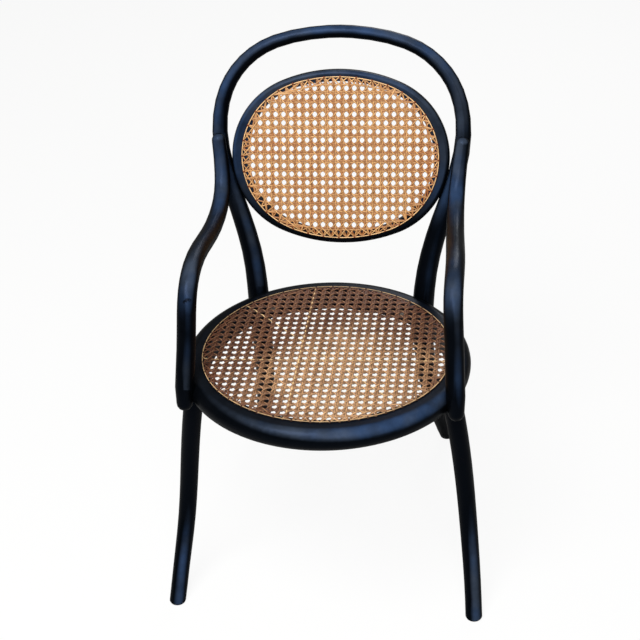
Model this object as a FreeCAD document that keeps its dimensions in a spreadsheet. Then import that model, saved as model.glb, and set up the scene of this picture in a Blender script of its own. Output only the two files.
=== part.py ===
# Bentwood armchair: bent beech rods, a round caned seat and an oval caned back panel.
# Millimetres. +Z is up, the front faces -Y, and the origin is the centre of the chair's
# bounding box on the floor. While it is built, depths are measured from the widest line
# of the seat ring. The last step slides every piece to the common origin.
import FreeCAD, Part
import math
import os

import Sketcher

Vector = FreeCAD.Vector
UP = Vector(0, 0, 1)
RIGHT = Vector(1, 0, 0)
BACK = Vector(0, 1, 0)

SIZES = {
    # overall
    "total_height": 907,
    "seat_height": 441,
    # seat ring, seen from above
    "ring_width": 503,
    "ring_side_radius": 229,
    "ring_front_reach": 239,
    "ring_rear_reach": 261,
    "ring_rim": 32,
    "ring_thickness": 42,
    # back hoop and rear legs
    "back_lean": 16.5,
    "hoop_width": 449,
    "hoop_side_radius": 161,
    "hoop_crown_reach": 170,
    "waist_rise": 160,
    "waist_width": 378,
    "flare_rise": 64,
    "flare_width": 328,
    "post_spacing": 314,
    "rear_foot_width": 394,
    "rear_foot_setback": 141,
    "crown_diameter": 23.5,
    "hoop_side_diameter": 28,
    "waist_diameter": 35,
    "post_diameter": 40,
    "rear_foot_diameter": 29,
    "post_notch": 4,
    # oval panel in the back
    "panel_width": 402,
    "panel_side_radius": 150,
    "panel_lower_reach": 160,
    "panel_upper_reach": 160.5,
    "panel_rise": 268,
    "panel_depth": 25,
    "panel_forward": 3,
    "panel_rounding": 8,
    "panel_cane_width": 366,
    "panel_cane_side_radius": 144,
    "panel_cane_lower_reach": 150.5,
    "panel_cane_upper_reach": 150,
    # arms
    "arm_lap_rise": 311,
    "arm_lap_length": 50,
    "arm_back_width": 432,
    "arm_front_width": 447,
    "arm_rise": 172,
    "arm_landing": 117,
    "arm_top_diameter": 25.5,
    "arm_diameter": 33,
    "arm_notch": 5.5,
    "arm_lap_bite": 9,
    "arm_tail": 4,
    # front legs
    "leg_landing": 74,
    "front_foot_width": 541,
    "front_foot_advance": 98,
    "leg_top_diameter": 34.5,
    "front_foot_diameter": 30,
    "leg_inset": 15.5,
    "foot_rounding": 4,
    "tenon_diameter": 20,
    "tenon_length": 27,
    # cane
    "cane_margin": 10,
    "cane_thickness": 1.6,
    "binder_width": 5.5,
    "binder_thickness": 1,
    "tie_width": 2.4,
    "tie_thickness": 0.6,
    "seat_hole_pitch": 15.9,
    "panel_hole_pitch": 14.8,
    "seat_gap_pitch": 29,
    "panel_gap_pitch": 22,
    "gap_share": 0.52,
    # fasteners
    "screw_diameter": 4.5,
    "screw_head_diameter": 8.6,
    "screw_head_depth": 2.6,
    "arm_top_screw_length": 38,
    "arm_foot_screw_length": 55,
    "panel_screw_length": 42,
    "bolt_diameter": 6,
    "bolt_head_diameter": 15,
    "bolt_head_height": 3.5,
    "nut_width": 11,
    "nut_thickness": 5,
    # fits
    "seat_gap": 0.3,
    "hole_gap": 0.1,
}


def make_sheet(doc):
    """Write the driving sizes into a sheet, one named cell each."""
    sheet = doc.addObject("Spreadsheet::Sheet", "Sizes")
    for row, (name, value) in enumerate(SIZES.items(), start=1):
        sheet.set("A%d" % row, name)
        sheet.set("B%d" % row, str(value))
        sheet.setAlias("B%d" % row, name)
    doc.recompute()
    return sheet


def arc_between(centre, start, end):
    """Arc that turns to the left about a centre, from one point to another."""
    first = math.atan2(start.y - centre.y, start.x - centre.x)
    last = math.atan2(end.y - centre.y, end.x - centre.x)
    if last < first:
        last += 2 * math.pi
    circle = Part.Circle(centre, UP, (start - centre).Length)
    return Part.ArcOfCircle(circle, first, last)


class Oval:
    """Closed outline of four tangent arcs: two equal sides, a low end and a high end."""

    def __init__(self, width, side_radius, low_reach, high_reach):
        self.side_radius = side_radius
        self.low_reach = low_reach
        self.high_reach = high_reach
        self.side_offset = width / 2 - side_radius

    def inset(self, distance):
        return Oval(
            2 * (self.side_offset + self.side_radius - distance),
            self.side_radius - distance,
            self.low_reach - distance,
            self.high_reach - distance,
        )

    def end_radius(self, reach):
        """Radius of the end arc that touches both side arcs at this reach."""
        side = self.side_radius
        return (reach ** 2 - side ** 2 + self.side_offset ** 2) / (2 * (reach - side))

    def end_centre(self, high):
        if high:
            return Vector(0, self.high_reach - self.end_radius(self.high_reach), 0)
        return Vector(0, self.end_radius(self.low_reach) - self.low_reach, 0)

    def side_centre(self, x):
        return Vector(math.copysign(self.side_offset, x), 0, 0)

    def touch(self, high, x=1.0):
        """Point where an end arc meets the side arc on the side of x."""
        centre = self.end_centre(high)
        radius = self.end_radius(self.high_reach if high else self.low_reach)
        return centre + (self.side_centre(x) - centre).normalize() * radius

    def arc_at(self, x, y):
        """Centre and radius of the arc that bounds a level."""
        if y > self.touch(True).y:
            return self.end_centre(True), self.end_radius(self.high_reach)
        if y < self.touch(False).y:
            return self.end_centre(False), self.end_radius(self.low_reach)
        return self.side_centre(x), self.side_radius

    def side_x(self, y):
        """Half width at a level."""
        centre, radius = self.arc_at(1.0, y)
        return centre.x + math.sqrt(radius ** 2 - (y - centre.y) ** 2)

    def high_y(self, x):
        """Level of the high end's boundary at a distance from the middle."""
        centre = self.end_centre(True)
        return centre.y + math.sqrt(self.end_radius(self.high_reach) ** 2 - x ** 2)

    def contains(self, x, y):
        """Whether a point lies inside the outline."""
        return -self.low_reach < y < self.high_reach and abs(x) < self.side_x(y)

    def outward(self, point):
        """Unit vector square to the boundary near a point of it."""
        centre, radius = self.arc_at(point.x, point.y)
        return (Vector(point.x, point.y, 0) - centre).normalize()

    def arcs(self):
        """The four arcs in turn: right side, high end, left side, low end."""
        low_right, high_right = self.touch(False, 1.0), self.touch(True, 1.0)
        low_left, high_left = self.touch(False, -1.0), self.touch(True, -1.0)
        return [
            arc_between(self.side_centre(1.0), low_right, high_right),
            arc_between(self.end_centre(True), high_right, high_left),
            arc_between(self.side_centre(-1.0), high_left, low_left),
            arc_between(self.end_centre(False), low_left, low_right),
        ]

    def wire(self, height=0.0):
        """The outline at one height."""
        wire = Part.Wire([arc.toShape() for arc in self.arcs()])
        wire.translate(UP * height)
        return wire

    def slab(self, low, high):
        """Solid with this outline between two heights."""
        return Part.Face(self.wire(low)).extrude(UP * (high - low))


def point_along(wire, distance):
    """Point and unit tangent at a distance along a wire."""
    for edge in wire.OrderedEdges:
        if distance <= edge.Length:
            parameter = edge.getParameterByLength(distance)
            return edge.valueAt(parameter), edge.tangentAt(parameter)
        distance -= edge.Length
    edge = wire.OrderedEdges[-1]
    return edge.valueAt(edge.LastParameter), edge.tangentAt(edge.LastParameter)


def mirrored(point):
    return Vector(-point.x, point.y, point.z)


def circle_section(centre, along, across, radius):
    """Circle square to a rod's axis, in four arcs turned to one steady side."""
    side = (across - along * across.dot(along)).normalize()
    turn = FreeCAD.Rotation(side, along.cross(side), along, "ZXY")
    circle = Part.Circle(Vector(0, 0, 0), UP, radius)
    quarter = math.pi / 2
    arcs = []
    for i in range(4):
        arc = Part.ArcOfCircle(circle, quarter * i, quarter * (i + 1)).toShape()
        arc.Placement = FreeCAD.Placement(centre, turn)
        arcs.append(arc)
    return Part.Wire(arcs)


def square_end(tip, outward, radius):
    """A rod's end left as it was cut, as (centre, normal, radius) circles."""
    return [(tip, outward, radius)]


def domed_end(tip, outward, radius):
    """Circles that round a rod's end off, from the widest to the last."""
    circles = []
    for angle in (0, 20, 42, 62, 80):
        turn = math.radians(angle)
        centre = tip + outward * radius * math.sin(turn)
        circles.append((centre, outward, radius * math.cos(turn)))
    return circles


def foot_end(rounding):
    """Level circles that end a leg in a flat sole with a rounded edge."""

    def circles(tip, outward, radius):
        down = UP * -1
        rings = []
        for angle in (0, 45, 90):
            turn = math.radians(angle)
            centre = tip + UP * rounding * (1 - math.sin(turn))
            rings.append((centre, down, radius - rounding * (1 - math.cos(turn))))
        return rings

    return circles


def bend_marks(axis, first, last):
    """Places along a rod's axis for its sections, closer together where it bends."""
    largest_turn = math.radians(7.5)
    longest, shortest = 32, 18
    marks = [first]
    turned = 0.0
    before = axis.tangent(first)[0]
    steps = 600
    for i in range(1, steps):
        parameter = first + (last - first) * i / steps
        along = axis.tangent(parameter)[0]
        turned += before.getAngle(along)
        before = along
        span = axis.length(marks[-1], parameter)
        enough = turned > largest_turn or span > longest
        if enough and span > shortest and axis.length(parameter, last) > shortest:
            marks.append(parameter)
            turned = 0.0
    return marks + [last]


def bent_rod(stations, across, first_end, last_end, growth=0.0, share=1.0):
    """Rod of changing thickness: a ruled loft through circles square to a smooth axis.

    stations is a list of (point, diameter) along the axis, and share is how much of the
    axis is used.
    """
    axis = Part.BSplineCurve()
    axis.interpolate([point for point, diameter in stations])
    marks = [axis.parameter(point) for point, diameter in stations]
    diameters = [diameter for point, diameter in stations]

    def circle_at(parameter):
        i = max(k for k in range(len(marks) - 1) if marks[k] <= parameter)
        share = (parameter - marks[i]) / (marks[i + 1] - marks[i])
        diameter = diameters[i] + share * (diameters[i + 1] - diameters[i])
        return axis.value(parameter), axis.tangent(parameter)[0], diameter / 2 + growth

    stop = marks[0] + share * (marks[-1] - marks[0])
    middle = [circle_at(place) for place in bend_marks(axis, marks[0], stop)[1:-1]]
    tip, along, radius = circle_at(marks[0])
    start = [(centre, normal * -1, size)
             for centre, normal, size in reversed(first_end(tip, along * -1, radius))]
    finish = last_end(*circle_at(stop))
    sections = [
        circle_section(centre, normal, across, size)
        for centre, normal, size in start + middle + finish
    ]
    return Part.makeLoft(sections, True, True)


class Chair:
    """The document, its sizes and what the sub-parts share."""

    def __init__(self):
        self.doc = FreeCAD.newDocument("armchair")
        self.sheet = make_sheet(self.doc)
        self.subparts = []
        size = self.size
        self.lean = math.radians(size("back_lean"))
        self.seat_outline = Oval(
            size("ring_width"),
            size("ring_side_radius"),
            size("ring_front_reach"),
            size("ring_rear_reach"),
        )
        self.ring_bottom = size("seat_height") - size("ring_thickness")
        self.ring_middle = size("seat_height") - size("ring_thickness") / 2
        # where a rear post crosses the middle of the seat ring
        bearing = size("post_diameter") / 2 - size("post_notch")
        post_x = size("post_spacing") / 2
        post_y = self.seat_outline.inset(-bearing).high_y(post_x)
        self.post_seat = Vector(post_x, post_y, self.ring_middle)
        self.back_origin = Vector(0, post_y, self.ring_middle)
        self.back_up = Vector(0, math.sin(self.lean), math.cos(self.lean))
        self.back_front = Vector(0, -math.cos(self.lean), math.sin(self.lean))
        crown = size("total_height") - size("crown_diameter") / 2 - self.ring_middle
        self.crown_rise = crown / math.cos(self.lean)
        # where an arm's lower end bears on the seat ring
        bearing = size("arm_diameter") / 2 - size("arm_notch")
        arm_x = self.seat_outline.inset(-bearing).side_x(-size("arm_landing"))
        self.arm_seat = Vector(arm_x, -size("arm_landing"), self.ring_middle)

    def size(self, name):
        return float(self.sheet.get(name))

    def on_back(self, x, rise, forward=0.0):
        """Point of the leaning back plane, by its distance from the seat along the plane."""
        return self.back_origin + RIGHT * x + self.back_up * rise + self.back_front * forward

    def back_placement(self, forward=0.0):
        """Frame whose x and y lie in the leaning back plane and whose z faces forward."""
        turn = FreeCAD.Rotation(RIGHT, 90 - math.degrees(self.lean))
        return FreeCAD.Placement(self.on_back(0, self.size("panel_rise"), forward), turn)

    def add(self, feature, label):
        """Register a finished sub-part under its plain name."""
        feature.Label = label
        self.subparts.append(feature)
        return feature

    def add_shape(self, label, shape, placement=None):
        """Register a shape that is built by direct geometry."""
        feature = self.doc.addObject("Part::Feature", label)
        feature.Shape = shape
        if placement is not None:
            feature.Placement = placement
        return self.add(feature, label)


def plane_of(body, role):
    """One of the body's own origin planes."""
    for feature in body.Origin.OriginFeatures:
        if feature.Role == role:
            return feature




def oval_sketch(body, name, oval, texts, inset="0"):
    """Sketch an oval on the body's XY plane, its arcs bound to named sizes.

    texts names the width, side radius, low reach and high reach in the sheet. The oval
    gives the same outline as a start for the solver.
    """
    width, side, low, high = ["Sizes." + text for text in texts]
    sketch = body.newObject("Sketcher::SketchObject", name)
    sketch.AttachmentSupport = [(plane_of(body, "XY_Plane"), "")]
    sketch.MapMode = "FlatFace"
    for arc in oval.arcs():
        sketch.addGeometry(arc, False)
    start, end, centre = 1, 2, 3
    horizontal_axis, vertical_axis = -1, -2
    for i in range(4):
        sketch.addConstraint(Sketcher.Constraint("Tangent", i, end, (i + 1) % 4, start))
    sketch.addConstraint(Sketcher.Constraint("PointOnObject", 1, centre, vertical_axis))
    sketch.addConstraint(Sketcher.Constraint("PointOnObject", 3, centre, vertical_axis))
    sketch.addConstraint(Sketcher.Constraint("PointOnObject", 0, centre, horizontal_axis))

    def bind(label, constraint, text):
        number = sketch.addConstraint(constraint)
        sketch.renameConstraint(number, label)
        sketch.setExpression("Constraints." + label, text)

    offset = "(%s / 2 - %s)" % (width, side)
    end_radius = "({r} ^ 2 - {s} ^ 2 + {o} ^ 2) / (2 * ({r} - {s})) - ({i})"
    bind(
        "side_offset",
        Sketcher.Constraint("DistanceX", -1, 1, 0, centre, oval.side_offset),
        offset,
    )
    radii = {
        "right_radius": (0, oval.side_radius, "%s - (%s)" % (side, inset)),
        "left_radius": (2, oval.side_radius, "%s - (%s)" % (side, inset)),
        "high_radius": (
            1,
            oval.end_radius(oval.high_reach),
            end_radius.format(r=high, s=side, o=offset, i=inset),
        ),
        "low_radius": (
            3,
            oval.end_radius(oval.low_reach),
            end_radius.format(r=low, s=side, o=offset, i=inset),
        ),
    }
    for label, (arc, radius, text) in radii.items():
        bind(label, Sketcher.Constraint("Radius", arc, radius), text)
    return sketch


def ring_body(chair, label, outer, inner, depth):
    """Bent ring: a pad of the outer outline, pierced by the inner one.

    outer and inner are each an oval, the names of its sizes and its inset.
    """
    doc = chair.doc
    body = doc.addObject("PartDesign::Body", label + "_body")
    pad = body.newObject("PartDesign::Pad", label + "_blank")
    pad.Profile = oval_sketch(body, label + "_outline", *outer)
    pad.setExpression("Length", "Sizes." + depth)
    doc.recompute()
    solid_volume = pad.Shape.Volume
    opening = body.newObject("PartDesign::Pocket", label + "_opening")
    opening.Profile = oval_sketch(body, label + "_inner_outline", *inner)
    opening.Type = "ThroughAll"
    opening.Reversed = True
    doc.recompute()
    if opening.Shape.Volume > 0.9 * solid_volume:
        raise ValueError("the opening of %s points away from the ring" % label)
    return body, opening


def edge_names(shape, wanted):
    """Names of the edges that a test picks."""
    return ["Edge%d" % (i + 1) for i, edge in enumerate(shape.Edges) if wanted(edge)]


def round_ring(body, base, name, wanted, radius_text):
    """Fillet the picked edges of a ring."""
    fillet = body.newObject("PartDesign::Fillet", name)
    fillet.Base = (base, edge_names(base.Shape, wanted))
    fillet.setExpression("Radius", radius_text)
    body.Document.recompute()
    return fillet


def ring_cutter(outline, low, high, rounding, gap):
    """Grown copy of a ring's outer form, which leaves a seating gap where it cuts."""
    slab = outline.inset(-gap).slab(low - gap, high + gap)
    rims = [edge for edge in slab.Edges if edge.BoundBox.ZLength < 0.01]
    return slab.makeFillet(rounding + gap, rims)


def seat_ring_rounding(chair):
    return 0.49 * chair.size("ring_thickness")


def seat_cutter(chair):
    return ring_cutter(
        chair.seat_outline,
        chair.ring_bottom,
        chair.size("seat_height"),
        seat_ring_rounding(chair),
        chair.size("seat_gap"),
    )


def pin(start, direction, length, radius):
    return Part.makeCylinder(radius, length, start, direction)


def post_stations(chair):
    """Axis points and diameters of one side of the hoop, from the floor to the crown."""
    size = chair.size
    seat = chair.post_seat
    hoop = Oval(
        size("hoop_width"),
        size("hoop_side_radius"),
        size("hoop_crown_reach"),
        size("hoop_crown_reach"),
    )
    shoulder_rise = chair.crown_rise - size("hoop_crown_reach")
    setback = size("rear_foot_setback")
    foot_x = size("rear_foot_width") / 2
    foot = Vector(foot_x, seat.y + setback, 0)
    stations = [(foot, size("rear_foot_diameter"))]
    # share of the drop to the floor, of the setback and of the outward swing
    leg_shape = ((0.86, 0.81, 0.74, 0.1), (0.74, 0.62, 0.48, 0.35), (0.40, 0.22, 0.08, 0.75))
    for drop, back, out, taper in leg_shape:
        x = seat.x + out * (foot_x - seat.x)
        y = seat.y + back * setback
        diameter = size("rear_foot_diameter")
        diameter += taper * (size("post_diameter") - size("rear_foot_diameter"))
        stations.append((Vector(x, y, seat.z * (1 - drop)), diameter))
    stations.append((seat, size("post_diameter")))
    flare = chair.on_back(size("flare_width") / 2, size("flare_rise"))
    stations.append((flare, 0.6 * size("post_diameter") + 0.4 * size("waist_diameter")))
    waist = chair.on_back(size("waist_width") / 2, size("waist_rise"))
    stations.append((waist, size("waist_diameter")))
    shoulder = chair.on_back(size("hoop_width") / 2, shoulder_rise)
    stations.append((shoulder, size("hoop_side_diameter")))
    for turn in (0.33, 0.66):
        angle = math.radians(90 * turn)
        rise = size("hoop_side_radius") * math.sin(angle)
        point = chair.on_back(hoop.side_x(rise), shoulder_rise + rise)
        thin = size("crown_diameter") - size("hoop_side_diameter")
        stations.append((point, size("hoop_side_diameter") + turn * thin))
    crown_x = 0.3 * size("hoop_width") / 2
    crown_y = hoop.high_y(crown_x)
    point = chair.on_back(crown_x, shoulder_rise + crown_y)
    stations.append((point, size("crown_diameter")))
    return stations


def hoop_rod(chair, growth=0.0):
    """The whole hoop before its joints are cut."""
    side = post_stations(chair)
    crown = chair.on_back(0, chair.crown_rise)
    stations = side + [(crown, chair.size("crown_diameter"))]
    stations += [(mirrored(point), diameter) for point, diameter in reversed(side)]
    sole = foot_end(chair.size("foot_rounding"))
    half = bent_rod(stations, BACK, sole, square_end, growth, 0.5)
    return half.fuse(half.mirror(Vector(0, 0, 0), RIGHT))


def panel_outline(chair):
    size = chair.size
    return Oval(
        size("panel_width"),
        size("panel_side_radius"),
        size("panel_lower_reach"),
        size("panel_upper_reach"),
    )


def panel_cane_outline(chair):
    size = chair.size
    return Oval(
        size("panel_cane_width"),
        size("panel_cane_side_radius"),
        size("panel_cane_lower_reach"),
        size("panel_cane_upper_reach"),
    )


def seat_cane_outline(chair):
    return chair.seat_outline.inset(chair.size("ring_rim"))


def panel_frame(chair):
    """Frame of the panel ring: its back face lies at local z = 0."""
    return chair.back_placement(chair.size("panel_forward") - chair.size("panel_depth") / 2)


SEAT_TEXTS = ("ring_width", "ring_side_radius", "ring_front_reach", "ring_rear_reach")
PANEL_TEXTS = (
    "panel_width", "panel_side_radius", "panel_lower_reach", "panel_upper_reach",
)
PANEL_CANE_TEXTS = (
    "panel_cane_width",
    "panel_cane_side_radius",
    "panel_cane_lower_reach",
    "panel_cane_upper_reach",
)


def hoop_point(chair, rise):
    """Centre and radius of the hoop's right side at a rise along the back plane."""
    stations = post_stations(chair)
    axis = Part.BSplineCurve()
    axis.interpolate([point for point, diameter in stations])
    low = axis.parameter(chair.post_seat)
    high = axis.LastParameter
    for step in range(40):
        middle = (low + high) / 2
        if (axis.value(middle) - chair.back_origin).dot(chair.back_up) < rise:
            low = middle
        else:
            high = middle
    marks = [axis.parameter(point) for point, diameter in stations]
    for i in range(len(marks) - 1):
        if marks[i] <= low <= marks[i + 1]:
            share = (low - marks[i]) / (marks[i + 1] - marks[i])
            thick = stations[i][1] + share * (stations[i + 1][1] - stations[i][1])
    return axis.value(low), thick / 2


def arm_stations(chair):
    """Axis points and diameters of the right arm, from its tongue to its tail."""
    size = chair.size
    full = size("arm_diameter")
    thin = size("arm_top_diameter")
    level = size("seat_height") + size("arm_rise")
    top_rise = size("arm_lap_rise") - thin / 2
    top, hoop_radius = hoop_point(chair, top_rise)
    lap = hoop_radius + thin / 2 - size("arm_lap_bite")
    low_rise = top_rise - size("arm_lap_length")
    low, low_radius = hoop_point(chair, low_rise)
    seat = chair.arm_seat
    post_y = chair.post_seat.y
    back_x = size("arm_back_width") / 2
    front_x = size("arm_front_width") / 2
    span = post_y - seat.y
    end_radius = 0.85 * full / 2
    drop = size("ring_thickness") / 2 + size("arm_tail") - end_radius
    tail = seat + Vector(0.05, -0.1, -1) * drop
    return [
        (top + chair.back_front * lap, thin),
        (low + RIGHT * 3 + chair.back_front * (lap + 3), thin + 0.3 * (full - thin)),
        (Vector(back_x, post_y + 0.08 * span, level + 19), thin + 0.6 * (full - thin)),
        (Vector(back_x, post_y - 0.07 * span, level - 4), thin + 0.8 * (full - thin)),
        (Vector((back_x + front_x) / 2, post_y - 0.35 * span, level - 5), full),
        (Vector(front_x, post_y - 0.63 * span, level + 3), full),
        (Vector(front_x, post_y - 0.82 * span, level - 17), full),
        (Vector((front_x + seat.x) / 2, seat.y + 30, 0.44 * level + 0.56 * seat.z), full),
        (seat, full),
        (tail, 2 * end_radius),
    ]


def leg_stations(chair):
    """Axis points and diameters of the right front leg, from the floor up."""
    size = chair.size
    landing = -size("leg_landing")
    top_x = chair.seat_outline.inset(size("leg_inset")).side_x(landing)
    top = Vector(top_x, landing, chair.ring_bottom)
    foot_x = size("front_foot_width") / 2
    advance = size("front_foot_advance")
    spread = foot_x - top.x
    foot = Vector(foot_x, landing - advance, 0)
    thick, thin = size("leg_top_diameter"), size("front_foot_diameter")
    shin = Vector(top.x + 0.74 * spread, landing - 0.24 * advance, 0.32 * top.z)
    thigh = Vector(top.x + 0.46 * spread, landing - 0.02 * advance, 0.65 * top.z)
    ankle = Vector(top.x + 0.93 * spread, landing - 0.71 * advance, 0.11 * top.z)
    above = top + UP * 9
    return [
        (foot, thin),
        (ankle, thin),
        (shin, 0.65 * thin + 0.35 * thick),
        (thigh, 0.3 * thin + 0.7 * thick),
        (above, thick),
    ]


class Joints:
    """Where the fasteners and tenons go. One entry per fastener, right side first."""

    def __init__(self, chair):
        size = chair.size
        outline = chair.seat_outline
        band = size("ring_rim") + size("cane_margin")
        self.band = band
        self.leg_tops = []
        self.bolts = []
        self.arm_top_screws = []
        self.arm_foot_screws = []
        self.panel_screws = []
        top = leg_stations(chair)[-1][0]
        post_out = outline.outward(chair.post_seat)
        arm_out = outline.outward(chair.arm_seat)
        ring_at_arm = chair.arm_seat - arm_out * (size("arm_diameter") / 2 - size("arm_notch"))
        for side in (1, -1):
            def flip(vector):
                return Vector(side * vector.x, vector.y, vector.z)

            self.leg_tops.append(flip(Vector(top.x, top.y, chair.ring_bottom)))
            head = chair.post_seat + post_out * (size("post_diameter") / 2 - 3)
            self.bolts.append((flip(head), flip(post_out * -1)))
            for offset in (-8, 8):
                start = ring_at_arm - arm_out * (band - 2) + UP * offset
                self.arm_foot_screws.append((flip(start), flip(arm_out)))
            for drop in (22, 46):
                centre, radius = hoop_point(chair, size("arm_lap_rise") - drop)
                start = centre - chair.back_front * (radius - 1.5)
                self.arm_top_screws.append((flip(start), chair.back_front))
            for drop in (22, 56):
                centre, radius = hoop_point(chair, size("panel_rise") - drop)
                start = centre + RIGHT * (radius - 1.5)
                self.panel_screws.append((flip(start), flip(RIGHT * -1)))


def drill(spots, length, radius, head_radius, head_depth, gap):
    """Holes for a row of fasteners, each with room for its head."""
    holes = []
    for start, direction in spots:
        holes.append(pin(start, direction, length + gap, radius + gap))
        outward = direction * -1
        reach = 30
        holes.append(pin(start + direction * (head_depth + gap), outward,
                         reach + head_depth, head_radius + gap))
    return Part.makeCompound(holes)


def placed(shape, start, direction):
    """Copy of a fastener whose head faces -direction."""
    copy = shape.copy()
    copy.Placement = FreeCAD.Placement(start, FreeCAD.Rotation(UP, direction))
    return copy


def cylinder(doc, name, radius_text, height_text, z_text="0"):
    feature = doc.addObject("Part::Cylinder", name)
    feature.setExpression("Radius", radius_text)
    feature.setExpression("Height", height_text)
    feature.setExpression("Placement.Base.z", z_text)
    return feature


def cone(doc, name, low_text, high_text, height_text, z_text="0"):
    feature = doc.addObject("Part::Cone", name)
    feature.setExpression("Radius1", low_text)
    feature.setExpression("Radius2", high_text)
    feature.setExpression("Height", height_text)
    feature.setExpression("Placement.Base.z", z_text)
    return feature


def box(doc, name, size_texts, corner_texts):
    feature = doc.addObject("Part::Box", name)
    for side, text in zip(("Length", "Width", "Height"), size_texts):
        feature.setExpression(side, text)
    for axis, text in zip("xyz", corner_texts):
        feature.setExpression("Placement.Base." + axis, text)
    return feature


def wood_screw(chair, name, length_text):
    """Countersunk screw: head up to z = 0, its length along +Z."""
    doc = chair.doc
    radius = "Sizes.screw_diameter / 2"
    head = "Sizes.screw_head_diameter / 2"
    screw = doc.addObject("Part::Fuse", name)
    screw.Base = cylinder(doc, name + "_shank", radius, length_text)
    screw.Tool = cone(doc, name + "_head", head, radius, "Sizes.screw_head_depth")
    doc.recompute()
    return screw


def net(outline, opening, pitch_x, pitch_y, share, thickness):
    """Flat net: one holed sheet, with square gaps wherever a whole one clears the ring."""
    half_x, half_y = share * pitch_x / 2, share * pitch_y / 2
    web = (1 - share) * pitch_x / 4
    clear = opening.inset(web)
    holes = []
    columns = int(opening.side_x(0) / pitch_x) + 1
    rows = int(max(opening.low_reach, opening.high_reach) / pitch_y) + 1
    for column in range(-columns, columns + 1):
        for row in range(-rows, rows + 1):
            x, y = column * pitch_x, row * pitch_y
            corners = [
                Vector(x + across * half_x, y + up * half_y, 0)
                for across, up in ((-1, -1), (1, -1), (1, 1), (-1, 1))
            ]
            if all(clear.contains(corner.x, corner.y) for corner in corners):
                holes.append(Part.makePolygon(corners + corners[:1]))
    sheet = Part.makeFace([outline.wire()] + holes, "Part::FaceMakerBullseye")
    print("net gaps", len(holes))
    return sheet.extrude(UP * thickness)


def tie_row(chair, outline, pitch):
    """Cane loops over the binder, one at every second hole, on a ring face at z = 0."""
    size = chair.size
    line = outline.inset(size("binder_width") / 2).wire()
    count = round(line.Length / (2 * pitch))
    half = size("binder_width") / 2
    gap = size("hole_gap")
    sheet = size("cane_thickness")
    thick = size("tie_thickness")
    top = sheet + size("binder_thickness") + gap
    profile = [
        (half + gap, gap), (half + gap + thick, gap), (half + gap + thick, top + thick),
        (-half - gap - thick, top + thick), (-half - gap - thick, sheet + gap),
        (-half - gap, sheet + gap), (-half - gap, top), (half + gap, top),
    ]
    ties = []
    for i in range(count):
        point, along = point_along(line, line.Length * (i + 0.5) / count)
        outward = along.cross(UP)
        if outward.dot(outline.outward(point)) < 0:
            outward = outward * -1
        corners = [
            point + outward * across + UP * height - along * size("tie_width") / 2
            for across, height in profile
        ]
        face = Part.Face(Part.makePolygon(corners + corners[:1]))
        ties.append(face.extrude(along * size("tie_width")))
    return Part.makeCompound(ties)


def build_seat(chair, joints):
    """Seat ring with its mortises and holes, its cane, binder and ties."""
    size = chair.size
    doc = chair.doc
    rim = "Sizes.ring_rim"
    opening_inset = size("ring_rim") + size("cane_margin")
    outer = (chair.seat_outline, SEAT_TEXTS)
    inner = (
        chair.seat_outline.inset(opening_inset), SEAT_TEXTS, rim + " + Sizes.cane_margin",
    )
    body, blank = ring_body(chair, "seat_ring", outer, inner, "ring_thickness")
    inside = chair.seat_outline.inset(1)

    def outer_rim(edge):
        middle = edge.valueAt((edge.FirstParameter + edge.LastParameter) / 2)
        return edge.BoundBox.ZLength < 0.01 and not inside.contains(middle.x, middle.y)

    round_ring(body, blank, "seat_ring_bullnose", outer_rim, "0.49 * Sizes.ring_thickness")
    body.Placement.Base.z = chair.ring_bottom
    gap = size("hole_gap")
    mortises = Part.makeCompound([
        pin(top - UP, UP, size("tenon_length") + 1 + size("seat_gap"),
            size("tenon_diameter") / 2 + gap)
        for top in joints.leg_tops
    ])
    holes = doc.addObject("Part::Feature", "seat_ring_holes")
    holes.Shape = Part.makeCompound([
        mortises,
        drill(joints.arm_foot_screws, size("arm_foot_screw_length"),
              size("screw_diameter") / 2, size("screw_head_diameter") / 2,
              size("screw_head_depth"), gap),
        Part.makeCompound([
            pin(start, direction, 200, size("bolt_diameter") / 2 + gap)
            for start, direction in joints.bolts
        ]),
    ])
    ring = doc.addObject("Part::Cut", "seat_ring")
    ring.Base = body
    ring.Tool = holes
    doc.recompute()
    chair.add(ring, "seat_ring")
    add_caning(
        chair, "seat", seat_cane_outline(chair), SEAT_TEXTS, rim,
        chair.seat_outline.inset(opening_inset),
        (size("seat_hole_pitch"), size("seat_gap_pitch"), size("seat_gap_pitch")),
        FreeCAD.Placement(Vector(0, 0, size("seat_height")), FreeCAD.Rotation()),
    )


def add_caning(chair, label, outline, texts, inset_text, opening, pitches, frame):
    """Cane net, binder strip and ties on a ring face."""
    size = chair.size
    hole_pitch, gap_x, gap_y = pitches
    sheet = net(
        outline.inset(0.5), opening, gap_x, gap_y, size("gap_share"), size("cane_thickness")
    )
    chair.add_shape(label + "_cane", sheet, frame)
    lifted = FreeCAD.Placement(
        frame.multVec(UP * size("cane_thickness")), frame.Rotation
    )
    strip, opening_feature = ring_body(
        chair,
        label + "_cane_binder",
        (outline, texts, inset_text),
        (
            outline.inset(size("binder_width")), texts,
            inset_text + " + Sizes.binder_width",
        ),
        "binder_thickness",
    )
    strip.Placement = lifted
    chair.add(strip, label + "_cane_binder")
    ties = tie_row(chair, outline, hole_pitch)
    chair.add_shape(label + "_cane_ties", ties, frame)


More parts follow.
